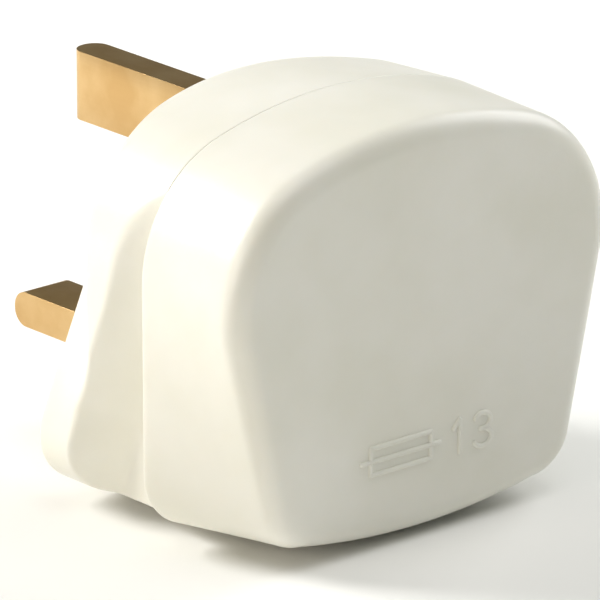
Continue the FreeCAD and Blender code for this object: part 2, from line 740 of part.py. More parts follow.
cap_length = size("fuse_cap_length")
cap_wall = size("fuse_cap_wall")
lower_fuse_cap = fuse_cap("lower_fuse_cap", (fuse_low, fuse_low + cap_length), True)
upper_fuse_cap = fuse_cap("upper_fuse_cap", (fuse_high - cap_length, fuse_high), False)
inside = (fuse_low + cap_wall, fuse_high - cap_wall)
fuse_tube = cut("fuse_tube", upright("fuse_tube_blank", size("fuse_cap_radius") - cap_wall, fuse_x, fuse_axis,
                                     inside),
                [upright("fuse_tube_bore", size("fuse_bore_radius"), fuse_x, fuse_axis, inside)])
fuse_filling = cut("fuse_filling", upright("fuse_filling_blank", size("fuse_bore_radius"), fuse_x, fuse_axis,
                                           inside),
                   [upright("fuse_filling_core", size("fuse_wire_radius"), fuse_x, fuse_axis, inside)])
fuse_wire = upright("fuse_wire", size("fuse_wire_radius"), fuse_x, fuse_axis, inside)


# Cord grip: a bar across the two posts, with a rounded ridge that presses on the cord

bar_low = size("grip_post_top")
bar = (bar_low, bar_low + size("bar_thickness"))
bar_end = size("grip_post_side") + size("grip_post_radius")
bar_z = (size("grip_post_height") - size("bar_height") / 2, size("grip_post_height") + size("bar_height") / 2)
bar_hole = size("terminal_screw_radius") + size("screw_fit")
ridge_end = size("grip_post_side") - size("grip_post_radius") - size("screw_fit")
cord_grip = cut("cord_grip", fuse("cord_grip_solid", [
    block("cord_grip_bar", (-bar_end, bar_end), bar, bar_z),
    block("cord_grip_ridge", (-ridge_end, ridge_end),
          (bar_low - size("bar_ridge"), bar_low + size("bar_ridge")),
          (size("grip_post_height") - size("bar_ridge"), size("grip_post_height") + size("bar_ridge"))),
]), [
    rod("cord_grip_left_hole", bar_hole, -size("grip_post_side"), size("grip_post_height"), bar),
    rod("cord_grip_right_hole", bar_hole, size("grip_post_side"), size("grip_post_height"), bar),
])


def bar_screw(name, x):
    """A screw that holds one end of the bar down on its post."""
    head = (bar[1], bar[1] + size("terminal_screw_head_height"))
    return screw(name, x, size("grip_post_height"), size("terminal_screw_radius"),
                 size("terminal_screw_head_radius"), head, floor_depth + wall * 1.5)


left_grip_screw = bar_screw("left_grip_screw", -size("grip_post_side"))
right_grip_screw = bar_screw("right_grip_screw", size("grip_post_side"))

PIECES = [
    base, cover, cover_screw, screw_washer, cover_insert,
    earth_pin, earth_terminal_screw, neutral_pin, neutral_terminal_screw, live_pin, live_pin_clip,
    live_terminal, live_terminal_screw, live_terminal_clip, clip_rivet,
    fuse_tube, lower_fuse_cap, upper_fuse_cap, fuse_filling, fuse_wire,
    cord_grip, left_grip_screw, right_grip_screw,
]

doc.recompute()
for thing in doc.Objects:
    if "Invalid" in thing.State or "Error" in thing.State:
        raise RuntimeError(f"{thing.Name} failed: {thing.State}")
for piece in PIECES:
    if piece.Shape.isNull() or not piece.Shape.isValid():
        raise RuntimeError(f"{piece.Label} has no valid shape")

os.makedirs("parts", exist_ok=True)
for piece in PIECES:
    print(f"{piece.Label}: {len(piece.Shape.Solids)} solid, {piece.Shape.Volume:.1f} cubic mm")
    piece.Shape.exportStep(f"parts/{piece.Label}.step")
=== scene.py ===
# %% [markdown]
# # A fused three pin plug
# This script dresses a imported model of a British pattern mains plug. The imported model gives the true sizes
# and places of all its pieces. Blender gives them their moulded, drawn and milled surfaces, a floor, soft
# light and a camera.

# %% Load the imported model
import json
import math
import bpy
import numpy as np
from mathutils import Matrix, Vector


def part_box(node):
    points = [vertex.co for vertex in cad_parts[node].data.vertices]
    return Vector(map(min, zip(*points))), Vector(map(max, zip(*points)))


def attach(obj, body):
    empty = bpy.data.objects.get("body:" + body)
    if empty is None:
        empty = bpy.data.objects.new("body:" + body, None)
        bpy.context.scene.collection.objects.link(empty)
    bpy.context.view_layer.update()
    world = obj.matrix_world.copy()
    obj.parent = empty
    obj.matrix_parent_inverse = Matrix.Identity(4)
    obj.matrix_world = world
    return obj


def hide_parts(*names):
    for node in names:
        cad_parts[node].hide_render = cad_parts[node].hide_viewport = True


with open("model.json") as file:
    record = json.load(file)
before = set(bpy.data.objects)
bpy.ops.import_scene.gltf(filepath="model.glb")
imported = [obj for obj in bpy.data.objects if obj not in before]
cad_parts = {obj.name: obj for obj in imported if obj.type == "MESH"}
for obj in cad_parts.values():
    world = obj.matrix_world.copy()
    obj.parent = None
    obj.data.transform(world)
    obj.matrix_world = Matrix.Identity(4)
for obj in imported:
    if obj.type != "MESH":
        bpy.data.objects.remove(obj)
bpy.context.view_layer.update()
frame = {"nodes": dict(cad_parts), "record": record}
MM = 0.001
print("loaded", len(frame["nodes"]), "nodes")

# %% [markdown]
# ## Outlines across the body
# Seen from the front, the body is a smooth closed line: a wide arc on top, two shoulders, two straight
# sides, two lower corners and a slightly round underside. Each piece of the line is tangent to the next.
# A curve could be drawn by hand, but arcs worked out from a few radii give exactly the moulding's own
# form, and they still touch each other when a size changes.

# %% Sizes of the mouldings, in millimetres
# Depths run from the pin face towards the cover's face.
BODY_DEPTH = 35.0
SEAM_DEPTH = 19.5
FLARE_DEPTH = 9.0
ROUND_DEPTH = 33.0  # where the outline FACE holds
RIM_EDGE = 0.4  # where the outline RIM holds
ROOM_STEP = 5.575  # where the room inside narrows to the bell
WALL = 2.0
FLOOR = 3.0
FACE_ROUND = 2.8
RIM_ROUND = 0.6
SEAM_ROUND = 0.15
GRIP_FLOOR = 20.6  # half of the width between the finger grips
MIDDLE = 8.0  # height of the point on which the flat faces close
RIM = {"top": 27.43, "top_radius": 21.5, "half_width": 15.5, "shoulder_radius": 13.0,
       "low_half_width": 25.6, "corner_radius": 6.0, "bottom": -16.0, "bottom_radius": 90.0}
FLARE = {"top": 31.03, "top_radius": 54.8, "half_width": 25.8, "shoulder_radius": 13.8,
         "low_half_width": 25.8, "corner_radius": 6.0, "bottom": -16.0, "bottom_radius": 90.0}
SEAM = {"top": 31.53, "top_radius": 56.0, "half_width": 27.0, "shoulder_radius": 15.0,
        "low_half_width": 27.0, "corner_radius": 7.0, "bottom": -16.0, "bottom_radius": 90.0}
FACE = {"top": 30.93, "top_radius": 56.0, "half_width": 27.0, "shoulder_radius": 15.0,
        "low_half_width": 22.2, "corner_radius": 6.0, "bottom": -15.2, "bottom_radius": 90.0}
ROOM = {"top": 27.53, "top_radius": 40.0, "half_width": GRIP_FLOOR - WALL, "shoulder_radius": 5.0,
        "low_half_width": GRIP_FLOOR - WALL, "corner_radius": 4.5, "bottom": -14.0, "bottom_radius": 88.0}
BELL_ROOM = {**ROOM, "top": 26.83, "top_radius": 20.9, "half_width": 14.9, "shoulder_radius": 12.4}
COLUMNS = {"top": 26, "shoulder": 44, "side": 84, "corner": 34, "bottom": 26}
ROWS = {"cover_face": 24, "cover_wall": 30, "cover_room": 6, "land": 4, "floor": 6,
        "pin_face": 12, "flare": 40, "side": 50, "step": 3, "rim_arc": 7, "face_arc": 10, "seam_arc": 4}
print("outlines of", sum(COLUMNS.values()) * 2, "points")


# %% One outline as points and outward directions
def outline(sizes):
    """Points (x, z) and outward unit vectors of a body outline, clockwise from the top centre.

    The top arc's centre is at height top - top_radius and the bottom arc's at bottom + bottom_radius.
    A shoulder touches the top arc from inside, so the distance of their centres is the difference of
    their radii; a lower corner touches the bottom arc in the same way. The side is the outer tangent of
    shoulder and corner: its outward vector makes the angle acos((r1 - r2) / run) with the line between
    their centres. The left half mirrors the right one.
    """
    top_centre = sizes["top"] - sizes["top_radius"]
    bottom_centre = sizes["bottom"] + sizes["bottom_radius"]
    shoulder_reach = sizes["top_radius"] - sizes["shoulder_radius"]
    shoulder_x = sizes["half_width"] - sizes["shoulder_radius"]
    shoulder_z = top_centre + math.sqrt(shoulder_reach ** 2 - shoulder_x ** 2)
    corner_reach = sizes["bottom_radius"] - sizes["corner_radius"]
    corner_x = sizes["low_half_width"] - sizes["corner_radius"]
    corner_z = bottom_centre - math.sqrt(corner_reach ** 2 - corner_x ** 2)
    top_angle = math.atan2(shoulder_z - top_centre, shoulder_x)
    bottom_angle = math.atan2(corner_z - bottom_centre, corner_x)
    run = math.hypot(corner_x - shoulder_x, corner_z - shoulder_z)
    side_angle = math.atan2(corner_z - shoulder_z, corner_x - shoulder_x) + math.acos(
        (sizes["shoulder_radius"] - sizes["corner_radius"]) / run)

    def steps(kind):
        return np.arange(COLUMNS[kind]) / COLUMNS[kind]

    def arc(kind, x, z, radius, start, end):
        angle = start + (end - start) * steps(kind)
        out = np.stack([np.cos(angle), np.sin(angle)], axis=1)
        return np.array([x, z]) + radius * out, out

    side_out = np.array([math.cos(side_angle), math.sin(side_angle)])
    side_start = np.array([shoulder_x, shoulder_z]) + sizes["shoulder_radius"] * side_out
    side_end = np.array([corner_x, corner_z]) + sizes["corner_radius"] * side_out
    side = side_start + (side_end - side_start) * steps("side")[:, None]
    pieces = [
        arc("top", 0, top_centre, sizes["top_radius"], math.pi / 2, top_angle),
        arc("shoulder", shoulder_x, shoulder_z, sizes["shoulder_radius"], top_angle, side_angle),
        (side, np.tile(side_out, (len(side), 1))),
        arc("corner", corner_x, corner_z, sizes["corner_radius"], side_angle, bottom_angle),
        arc("bottom", 0, bottom_centre, sizes["bottom_radius"], bottom_angle, -math.pi / 2),
    ]
    points = np.concatenate([points for points, out in pieces])
    out = np.concatenate([out for points, out in pieces])
    end = np.array([[0.0, sizes["bottom"]]])
    down = np.array([[0.0, -1.0]])
    mirror = np.array([-1.0, 1.0])
    points = np.concatenate([points, end, points[:0:-1] * mirror])
    out = np.concatenate([out, down, out[:0:-1] * mirror])
    return points, out


def between(first, second, share, top_share=None):
    """Outline sizes part of the way from one set to another; the top may be further on than the rest."""
    sizes = {key: first[key] * (1 - share) + second[key] * share for key in first}
    if top_share is not None:
        sizes["top"] = first["top"] * (1 - top_share) + second["top"] * top_share
    return sizes


print("outline of", len(outline(SEAM)[0]), "points")

# %% [markdown]
# ## Closed surfaces from rows of points
# Every moulding here is a stack of outlines: rows of the same number of points. Joining each row to the
# next with quads and closing the first and last row on one point gives a shell without holes, which is
# what a modifier such as Boolean needs.


# %% A mesh from rows that close on two poles
def closed_surface(rows, first_pole, last_pole):
    """Points and faces of a closed shell: rows is an array (rows, columns, 3), and a pole closes each end.

    Vertex r * columns + c is column c of row r. A quad joins columns c and c + 1 of rows r and r + 1. Its
    outside is where the columns run clockwise when the rows come towards the viewer.
    """
    rows = np.asarray(rows)
    count, columns = rows.shape[:2]
    points = np.concatenate([rows.reshape(-1, 3), [first_pole, last_pole]])
    here = np.arange(columns)
    after = (here + 1) % columns
    row = np.arange(count - 1)[:, None] * columns
    quads = np.stack([row + here, row + after, row + columns + after, row + columns + here], axis=-1)
    quads = quads.reshape(-1, 4)
    last = (count - 1) * columns
    first_fan = np.stack([after, here, np.full(columns, count * columns)], axis=1)
    last_fan = np.stack([last + here, last + after, np.full(columns, count * columns + 1)], axis=1)
    return points, quads.tolist() + first_fan.tolist() + last_fan.tolist()


def piece_from(name, points, faces):
    """An object of points in millimetres and faces."""
    mesh = bpy.data.meshes.new(name)
    mesh.from_pydata((np.asarray(points) * MM).tolist(), [], faces)
    mesh.update()
    piece = bpy.data.objects.new(name, mesh)
    bpy.context.scene.collection.objects.link(piece)
    return piece


def shell_from_rows(name, rows, first_pole, last_pole):
    """An object that is one closed shell."""
    return piece_from(name, *closed_surface(rows, first_pole, last_pole))


def smooth(piece, sharp_degrees=35.0):
    """Smooth shading that keeps edges over an angle sharp."""
    mesh = piece.data
    mesh.polygons.foreach_set("use_smooth", np.ones(len(mesh.polygons), dtype=bool))
    mesh.set_sharp_from_angle(angle=math.radians(sharp_degrees))
    return piece


def at_depth(points, depth):
    """Rows of (x, z) as points of the part, where depth runs along -Y."""
    return np.stack([points[:, 0], np.broadcast_to(-np.asarray(depth, dtype=float), points.shape[:1]),
                     points[:, 1]], axis=1)


# %% [markdown]
# ## The cover
# The cover is one deep moulding. Its walls run straight from the seam to the face, the lower sides lean
# in, and a rounding of nearly three millimetres leads over to the face. A Bevel modifier could round the
# edge, but it would pinch where the walls' lean changes, so the arc is worked out for each point of the
# outline.


# %% Rounded corner between a wall and a flat face
def rounded_corner(wall_points, wall_depth, face_points, face_out, face_depth, radius, steps):
    """Rows of an arc of one radius that touches the wall and the face.

    A wall that leans outwards by the angle a meets the face in an angle of 90 + a degrees. The arc's
    centre lies radius / tan((90 + a) / 2) inside the edge and one radius under the face, and the arc
    runs from the angle a to 90 degrees.
    """
    direction = 1.0 if face_depth > wall_depth else -1.0
    lean = np.arctan2(np.sum((wall_points - face_points) * face_out, axis=1), abs(face_depth - wall_depth))
    inside = radius / np.tan((math.pi / 2 + lean) / 2)
    rows = []
    for part in np.linspace(0.0, 1.0, steps + 1):
        angle = lean + (math.pi / 2 - lean) * part
        outward = radius * np.cos(angle) - inside
        depth = face_depth + direction * radius * (np.sin(angle) - 1.0)
        rows.append(at_depth(face_points + outward[:, None] * face_out, depth))
    return np.array(rows)


def straight_rows(first, last, count):
    """Rows in a straight line from one row to another, both included."""
    part = np.linspace(0.0, 1.0, count)[:, None, None]
    return first[None] * (1 - part) + last[None] * part


def face_rows(edge, centre, count):
    """Rows that shrink from an edge towards a centre, without the centre."""
    part = np.linspace(1.0, 0.0, count + 1)[1:-1, None, None]
    return centre + (edge - centre)[None] * part


seam_points, seam_out = outline(SEAM)
face_share = (BODY_DEPTH - SEAM_DEPTH) / (ROUND_DEPTH - SEAM_DEPTH)
face_points, face_out = outline(between(SEAM, FACE, face_share))
room_points = outline(ROOM)[0]
room_seam = at_depth(room_points, SEAM_DEPTH)
room_end = at_depth(room_points, BODY_DEPTH - WALL)
face_corner = rounded_corner(seam_points, SEAM_DEPTH, face_points, face_out, BODY_DEPTH, FACE_ROUND,
                             ROWS["face_arc"])
seam_corner = rounded_corner(face_points, BODY_DEPTH, seam_points, seam_out, SEAM_DEPTH, SEAM_ROUND,
                             ROWS["seam_arc"])[::-1]
face_middle = np.array([0.0, -BODY_DEPTH, MIDDLE])
room_middle = np.array([0.0, -BODY_DEPTH + WALL, MIDDLE])
cover_rows = np.concatenate([
    face_rows(face_corner[-1], face_middle, ROWS["cover_face"])[::-1],
    face_corner[::-1],
    straight_rows(face_corner[0], seam_corner[-1], ROWS["cover_wall"])[1:-1],
    seam_corner[::-1],
    straight_rows(seam_corner[0], room_seam, ROWS["land"])[1:],
    straight_rows(room_seam, room_end, ROWS["cover_room"])[1:],
    face_rows(room_end, room_middle, ROWS["floor"]),
])
cover_shell = shell_from_rows("cover_shell", cover_rows, face_middle, room_middle)
print("cover shell", len(cover_shell.data.polygons), "faces")

# %% [markdown]
# ## The base
# The base flares from the bell shaped pin face to the full outline, then runs on to the seam. A finger
# grip is sunk in each side: a hollow whose foot leans towards the cover and whose flank rises towards the
# pins. A Boolean could cut it, but its edge would stay knife sharp. Here the grip is a second surface, and
# a soft minimum of the two gives the moulded, slightly rounded edge.

# %% The finger grip as a surface
GRIP_LEAN = math.radians(30.0)
GRIP_LOW_DEPTH = 5.4
GRIP_SLOPE = math.radians(38.0)
GRIP_HOLLOW = 3.5
GRIP_EDGE_SOFTNESS = 0.5
GRIP_MARGIN = 1.0
GRIP_LOW_PART = -3.0
GRIP_CLOSING = 0.17
GRIP_CLOSING_START = 1.5
GRIP_HIGH_PART = 8.0
GRIP_FADE = 22.0


def grip_surface(depth, z):
    """Half width that the grip leaves at a depth and height.

    The foot of the slope is a straight line that starts at the underside and leans from upright towards
    the cover. The distance from that line, measured across it towards the pins, is s. The surface is the
    floor where s is negative, then an arc of the hollow's radius, then a slope that rises by tan(slope)
    for each s. Below the low part, where the grip closes, the rise grows by the closing share for each
    millimetre, gently at first. Above the high part it fades with the square of the height.
    """
    beside = (GRIP_LOW_DEPTH - depth) * math.cos(GRIP_LEAN) + (z - SEAM["bottom"]) * math.sin(GRIP_LEAN)
    start = GRIP_HOLLOW * math.tan(GRIP_SLOPE / 2)
    along = np.clip(beside + start, 0.0, GRIP_HOLLOW * math.sin(GRIP_SLOPE))
    hollow = GRIP_HOLLOW - np.sqrt(GRIP_HOLLOW ** 2 - along ** 2)
    slope = np.maximum(beside - start * math.cos(GRIP_SLOPE), 0.0) * math.tan(GRIP_SLOPE)
    below = np.maximum(GRIP_LOW_PART - z, 0.0)
    above = np.maximum(z - GRIP_HIGH_PART, 0.0)
    steeper = 1 + GRIP_CLOSING * below ** 2 / (below + GRIP_CLOSING_START) - (above / GRIP_FADE) ** 2
    return GRIP_FLOOR + (hollow + slope) * steeper


def soft_minimum(first, second, softness):
    """The smaller of two values, with the corner where they cross rounded off."""
    share = np.clip(0.5 + 0.5 * (second - first) / softness, 0.0, 1.0)
    return second * (1 - share) + first * share - softness * share * (1 - share)


def sink_grips(rows):
    """Rows with their sides pressed in to the grip's surface."""
    x, y, z = rows[..., 0], rows[..., 1], rows[..., 2]
    limit = grip_surface(-y, z)
    near = np.abs(x) > GRIP_FLOOR - GRIP_MARGIN
    pressed = np.sign(x) * soft_minimum(np.abs(x), limit, GRIP_EDGE_SOFTNESS)
    return np.stack([np.where(near, pressed, x), y, z], axis=-1)


# %% The base shell
def flare_sizes(depth):
    """The flare's outline at a depth.

    All sizes grow evenly but the top, whose share of the way is 1 - (1 - part) ** 2.
    """
    part = (depth - RIM_EDGE) / (FLARE_DEPTH - RIM_EDGE)
    return between(RIM, FLARE, part, 1 - (1 - part) ** 2)


def flare_row(depth):
    """The row of the flare's outline at a depth."""
    return at_depth(outline(flare_sizes(depth))[0], depth)


rim_points, rim_out = outline(flare_sizes(0.0))
rim_start = outline(flare_sizes(RIM_ROUND))[0]
rim_corner = rounded_corner(rim_start, RIM_ROUND, rim_points, rim_out, 0.0, RIM_ROUND, ROWS["rim_arc"])
pin_face_middle = np.array([0.0, 0.0, MIDDLE])
floor_middle = np.array([0.0, -FLOOR, MIDDLE])
flare_end = flare_row(FLARE_DEPTH)
seam_edge = rounded_corner(outline(FLARE)[0], FLARE_DEPTH, seam_points, seam_out, SEAM_DEPTH, SEAM_ROUND,
                           ROWS["seam_arc"])
PAST_ROUNDING = 1.2
flare_depths = np.linspace(RIM_ROUND * PAST_ROUNDING, FLARE_DEPTH, ROWS["flare"])
outer_rows = np.concatenate([
    rim_corner[::-1],
    np.array([flare_row(depth) for depth in flare_depths]),
    straight_rows(flare_end, seam_edge[0], ROWS["side"])[1:-1],
    seam_edge,
])
outer_rows = sink_grips(outer_rows)
room_step = at_depth(room_points, ROOM_STEP)
bell_points = outline(BELL_ROOM)[0]
bell_step = at_depth(bell_points, ROOM_STEP)
bell_end = at_depth(bell_points, FLOOR)
base_rows = np.concatenate([
    face_rows(rim_corner[-1], pin_face_middle, ROWS["pin_face"])[::-1],
    outer_rows,
    straight_rows(outer_rows[-1], room_seam, ROWS["land"])[1:],
    straight_rows(room_seam, room_step, ROWS["land"])[1:],
    straight_rows(room_step, bell_step, ROWS["step"])[1:],
    straight_rows(bell_step, bell_end, ROWS["step"])[1:],
    face_rows(bell_end, floor_middle, ROWS["floor"]),
])
base_shell = shell_from_rows("base_shell", base_rows[::-1], floor_middle, pin_face_middle)
print("base shell", len(base_shell.data.polygons), "faces")

# %% [markdown]
# ## Posts and openings
# Both mouldings have posts inside that carry the screws, and the base has ribs beside the cord's way and a
# seat under the fuse. They are joined to the closed shells with Boolean modifiers, and the openings for
# the pins, the screws and the cord are cut in the same way, as core pins leave holes in a moulding. The
# tools are worked out from the CAD pieces' own boxes where a piece fits into them.


# %% Tools for the posts and openings
def box_points(low, high):
    """The eight corners of a box in millimetres."""
    return [(x, y, z) for x in (low[0], high[0]) for y in (low[1], high[1]) for z in (low[2], high[2])]


def box_tool(name, low, high):
    """A plain box between two corners."""
    mesh = bpy.data.meshes.new(name)
    points = [tuple(MM * value for value in point) for point in box_points(low, high)]
    mesh.from_pydata(points, [], [(0, 1, 3, 2), (4, 6, 7, 5), (0, 4, 5, 1), (2, 3, 7, 6), (0, 2, 6, 4),
                                  (1, 5, 7, 3)])
    tool = bpy.data.objects.new(name, mesh)
    bpy.context.scene.collection.objects.link(tool)
    return tool


def turned_tool(name, x, z, profile, sides):
    """A turned solid whose axis runs into the body: profile is a list of (depth, radius).

    Each pair gives a circle, and the points of a circle start a part of a step round, so that no point of
    one tool lies on a line of another.
    """
    angle = (np.arange(sides) + 0.37) * 2 * math.pi / sides
    rows = [
        np.column_stack([x + radius * np.cos(angle), np.full(sides, -depth), z - radius * np.sin(angle)])
        for depth, radius in profile
    ]
    return shell_from_rows(name, rows[::-1], (x, -profile[-1][0], z), (x, -profile[0][0], z))


def upright_tool(name, centre, radius, low, high, sides=72):
    """A cylinder that stands on the floor of the scene: centre is (x, y), low and high are heights."""
    angle = np.arange(sides) * 2 * math.pi / sides
    circle = np.stack([centre[0] + radius * np.cos(angle), centre[1] + radius * np.sin(angle)], axis=1)
    rows = [np.column_stack([circle, np.full(sides, z)]) for z in (low, high)]
    return shell_from_rows(name, rows[::-1], (*centre, high), (*centre, low))


def with_tools(piece, added, taken):
    """Join the first tools to a piece and take the others out of it, then delete them all."""
    for operation, tools in (("UNION", added), ("DIFFERENCE", taken)):
        for tool in tools:
            change = piece.modifiers.new(tool.name, "BOOLEAN")
            change.operation = operation
            change.solver = "EXACT"
            change.object = tool
    graph = bpy.context.evaluated_depsgraph_get()
    changed = bpy.data.meshes.new_from_object(piece.evaluated_get(graph))
    piece.modifiers.clear()
    piece.data = changed
    for tool in (*added, *taken):
        bpy.data.objects.remove(tool)
    return smooth(piece)


def cad_box_mm(node):
    """A node's lowest and highest corner in millimetres."""
    low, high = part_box(node)
    return np.array(low) / MM, np.array(high) / MM


def axis_of(node):
    """Where the axis of a node along Y stands, as (x, z) in millimetres."""
    low, high = cad_box_mm(node)
    return (low + high)[[0, 2]] / 2


print("tools work from the boxes of", len(frame["nodes"]), "nodes")

# %% Slots for the pins
PINS = {"earth_pin": (4.0, 8.0), "live_pin": (6.35, 4.0), "neutral_pin": (6.35, 4.0)}
PIN_FIT = 0.1
TOOL_PROUD = 2.0
SLOT_END = -FLOOR - 0.5
openings = []
for node, (width, height) in PINS.items():
    x, z = axis_of(node)
    half_width, half_height = width / 2 + PIN_FIT, height / 2 + PIN_FIT
    openings.append(box_tool(node + "_slot", (x - half_width, SLOT_END, z - half_height),
                             (x + half_width, TOOL_PROUD, z + half_height)))
print(len(openings), "slots")

# %% Ways for the cover screw, the cord and the live terminal's tail
HEAD_RADIUS = 3.1
SCREW_RADIUS = 1.75
WASHER_RADIUS = 3.0
HEAD_FOOT = 3.2
SCREW_FIT = 0.2
THREAD_FIT = 0.05
screw_x, screw_z = axis_of("cover_screw")
washer_depth = -cad_box_mm("screw_washer")[1][1]
openings.append(turned_tool("screw_way", screw_x, screw_z, [
    (-TOOL_PROUD, HEAD_RADIUS + SCREW_FIT), (HEAD_FOOT, HEAD_RADIUS + SCREW_FIT),
    (HEAD_FOOT, SCREW_RADIUS + SCREW_FIT), (washer_depth, SCREW_RADIUS + SCREW_FIT),
    (washer_depth, WASHER_RADIUS + THREAD_FIT), (SEAM_DEPTH + 1, WASHER_RADIUS + THREAD_FIT),
], 72))
ENTRY_RADIUS = 4.1
ENTRY_DEPTH = 10.0
ENTRY_LOW = -19.0
ENTRY_HIGH = -12.0
openings.append(upright_tool("cord_entry", (0, -ENTRY_DEPTH), ENTRY_RADIUS, ENTRY_LOW, ENTRY_HIGH))
TAIL_SEAT = 7.325
tail_low, tail_high = cad_box_mm("live_terminal")
openings.append(box_tool("tail_seat", (tail_low[0] - THREAD_FIT, -TAIL_SEAT, tail_low[2] - THREAD_FIT),
                         (tail_high[0] + THREAD_FIT, -ROOM_STEP, tail_high[2] + THREAD_FIT)))
print("screw way at", round(float(screw_x), 2), round(float(screw_z), 2))

# %% Posts, ribs and the fuse's seat in the base
POST_RADIUS = 4.4
BAR_POST_RADIUS = 2.9
BAR_POST_TOP = 12.6
BAR_THREAD_RADIUS = 1.55
RIB = {"inner": 5.6, "outer": 6.8, "top": 12.0, "low": -3.8, "high": 4.6}
PEDESTAL_END = 1.6
PEDESTAL_FOOT = FLOOR * 0.9
post_profile = [(FLOOR / 2, POST_RADIUS), (SEAM_DEPTH, POST_RADIUS)]
bar_post_profile = [(FLOOR / 2, BAR_POST_RADIUS), (BAR_POST_TOP, BAR_POST_RADIUS)]
thread_profile = [(FLOOR + WALL, BAR_THREAD_RADIUS), (BAR_POST_TOP + 1, BAR_THREAD_RADIUS)]
posts = [turned_tool("screw_post", screw_x, screw_z, post_profile, 80)]
for side in ("left", "right"):
    x, z = axis_of(side + "_grip_screw")
    posts.append(turned_tool(side + "_post", x, z, bar_post_profile, 60))
    openings.append(turned_tool(side + "_thread", x, z, thread_profile, 48))
for side in (-1, 1):
    near, far = sorted((side * RIB["inner"], side * RIB["outer"]))
    posts.append(box_tool(f"rib_{side}", (near, -RIB["top"], RIB["low"]), (far, -FLOOR / 2, RIB["high"])))
posts.append(box_tool("fuse_pedestal", (tail_low[0] - WALL / 2, -ROOM_STEP, tail_low[2] - WALL / 2),
                      (tail_high[0] - PEDESTAL_END, -PEDESTAL_FOOT, tail_high[2])))
with_tools(base_shell, posts, openings)
print("base joined with", len(posts), "tools and cut by", len(openings))

# %% The cover's post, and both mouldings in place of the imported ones
INSERT_RADIUS = 2.6
INSERT_LENGTH = 8.0
cover_post_profile = [(SEAM_DEPTH, POST_RADIUS), (BODY_DEPTH - WALL / 2, POST_RADIUS)]
insert_profile = [(SEAM_DEPTH - 1, INSERT_RADIUS + THREAD_FIT),
                  (SEAM_DEPTH + INSERT_LENGTH, INSERT_RADIUS + THREAD_FIT)]
with_tools(cover_shell, [turned_tool("cover_post", screw_x, screw_z, cover_post_profile, 80)],
           [turned_tool("insert_seat", screw_x, screw_z, insert_profile, 72)])
for piece, node in ((base_shell, "base"), (cover_shell, "cover")):
    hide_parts(node)
    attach(piece, "root")
    print(piece.name, len(piece.data.polygons), "faces")

# %% [markdown]
# ## Marks on the face
# Plugs carry raised marks on the cover, rounded ridges that the mould's engraving leaves. Here they are a
# plain rating number and the common drawing symbol of a fuse, a rectangle with a line through it. A text
# object would give flat topped letters; a round bar along each stroke, sunk to half its thickness in the
# face, has the soft section of the real ridges, needs no cut and shows no gap. A bar that ends on another
# one stops a little short of its axis, so that no two surfaces lie on each other.

# %% Raised marks
MARK_RADIUS = 0.3
DIGIT_HEIGHT = 3.8
DIGIT_LOW = -7.3
ONE_X = 4.6
THREE_X = 7.9
LOOP_RADIUS = 0.9
LOOP_WIDTH = 1.3
STOP_SHORT = 0.1
FUSE_MARK = {"left": -8.2, "right": 0.4, "low": -6.9, "high": -3.9}
WIRE_END = 1.3


def stroke(path, sides=20, end_rows=5):
    """A closed round bar with round ends along a path of points (x, z) on the face.

    The circle at a point lies across the mean direction of the two sides that meet there. Beyond an end
    the circles move on by the sine of a quarter turn and shrink by its cosine, which is half a ball.
    """
    path = np.asarray(path, dtype=float)
    ahead = np.diff(path, axis=0)
    ahead /= np.linalg.norm(ahead, axis=1)[:, None]
    turn = np.linspace(0, math.pi / 2, end_rows + 1)[1:-1]
    reach = MARK_RADIUS * np.sin(turn)[:, None]
    centres = np.concatenate([(path[0] - reach * ahead[0])[::-1], path, path[-1] + reach * ahead[-1]])
    radius = MARK_RADIUS * np.concatenate([np.cos(turn)[::-1], np.ones(len(path)), np.cos(turn)])
    first, last = (np.tile(way, (len(turn) + 1, 1)) for way in (ahead[0], ahead[-1]))
    along = np.concatenate([first, ahead[:-1] + ahead[1:], last])
    along /= np.linalg.norm(along, axis=1)[:, None]
    across = np.stack([-along[:, 1], along[:, 0]], axis=1)
    angle = np.arange(sides) * 2 * math.pi / sides
    flat = centres[:, None] + radius[:, None, None] * np.cos(angle)[None, :, None] * across[:, None]
    depth = BODY_DEPTH + radius[:, None] * np.sin(angle)
    rows = np.stack([flat[..., 0], -depth, flat[..., 1]], axis=-1)
    start = path[0] - MARK_RADIUS * ahead[0]
    end = path[-1] + MARK_RADIUS * ahead[-1]
    return closed_surface(rows, (start[0], -BODY_DEPTH, start[1]), (end[0], -BODY_DEPTH, end[1]))


# %% The strokes and their mesh
def loop_points(x, z, radius, start_degrees, end_degrees, count=28):
    """Points (x, z) along a part of an ellipse that is wider than high."""
    angle = np.radians(np.linspace(start_degrees, end_degrees, count))
    return np.stack([x + LOOP_WIDTH * radius * np.cos(angle), z + radius * np.sin(angle)], axis=1)


